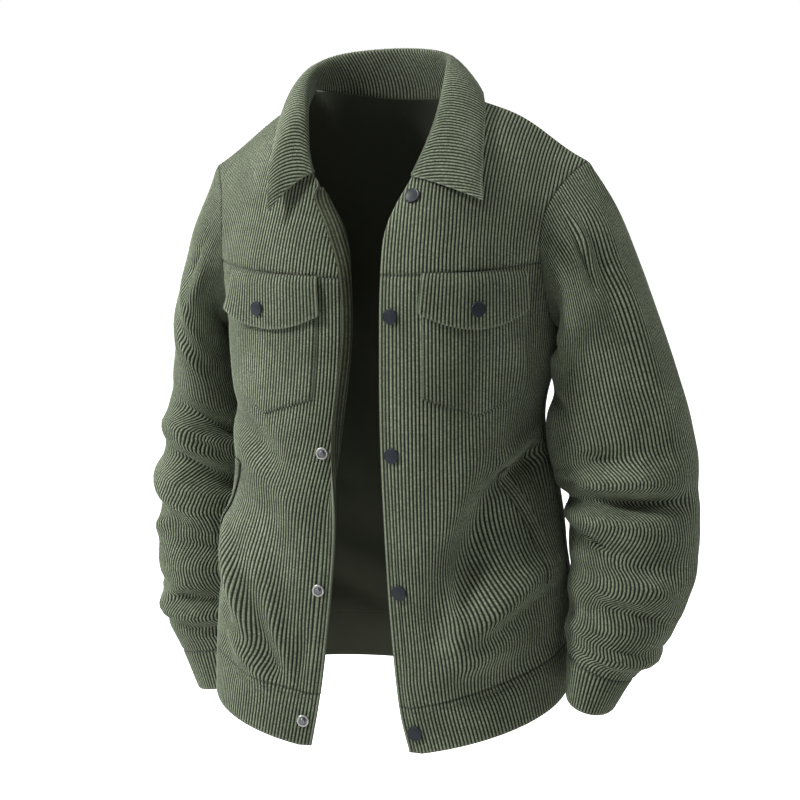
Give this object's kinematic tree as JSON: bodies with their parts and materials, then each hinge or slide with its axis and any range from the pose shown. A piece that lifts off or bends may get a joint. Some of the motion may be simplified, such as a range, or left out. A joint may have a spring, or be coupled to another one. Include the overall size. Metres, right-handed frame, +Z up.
{
  "type": "corduroy jacket",
  "caption": "Open-fronted corduroy jacket holding its worn shape, with a turned-down collar, flapped chest pockets, long sleeves with cuffs and a waistband.",
  "frame": {"origin": "middle of the neck opening, level with the tops of the shoulder seams, where the wearer's shoulders hold the jacket", "axes": "+Z up through the neck, the open front faces -Y, +X is the wearer's left"},
  "size_m": [0.6434, 0.2989, 0.741],
  "materials": {
    "corduroy": "wide-wale cotton corduroy, napped",
    "snap_cap": "satin slate-grey enamel on a pressed cap",
    "snap_stud": "bright nickel plate"
  },
  "bodies": {
    "root": {"front_left": "corduroy", "yoke_left": "corduroy", "waistband_left": "corduroy", "sleeve_top_left": "corduroy", "sleeve_under_left": "corduroy", "cuff_left": "corduroy", "chest_pocket_left": "corduroy", "pocket_flap_left": "corduroy", "pocket_welt_left": "corduroy", "facing_left": "corduroy", "flap_snap_left": "snap_cap", "front_right": "corduroy", "yoke_right": "corduroy", "waistband_right": "corduroy", "sleeve_top_right": "corduroy", "sleeve_under_right": "corduroy", "cuff_right": "corduroy", "chest_pocket_right": "corduroy", "pocket_flap_right": "corduroy", "pocket_welt_right": "corduroy", "facing_right": "corduroy", "flap_snap_right": "snap_cap", "back": "corduroy", "waistband_back": "corduroy", "collar": "corduroy", "snap_cap_1": "snap_cap", "snap_cap_2": "snap_cap", "snap_cap_3": "snap_cap", "snap_cap_4": "snap_cap", "snap_cap_5": "snap_cap", "snap_stud_3": "snap_stud", "snap_stud_4": "snap_stud", "snap_stud_5": "snap_stud"}
  },
  "joints": []
}
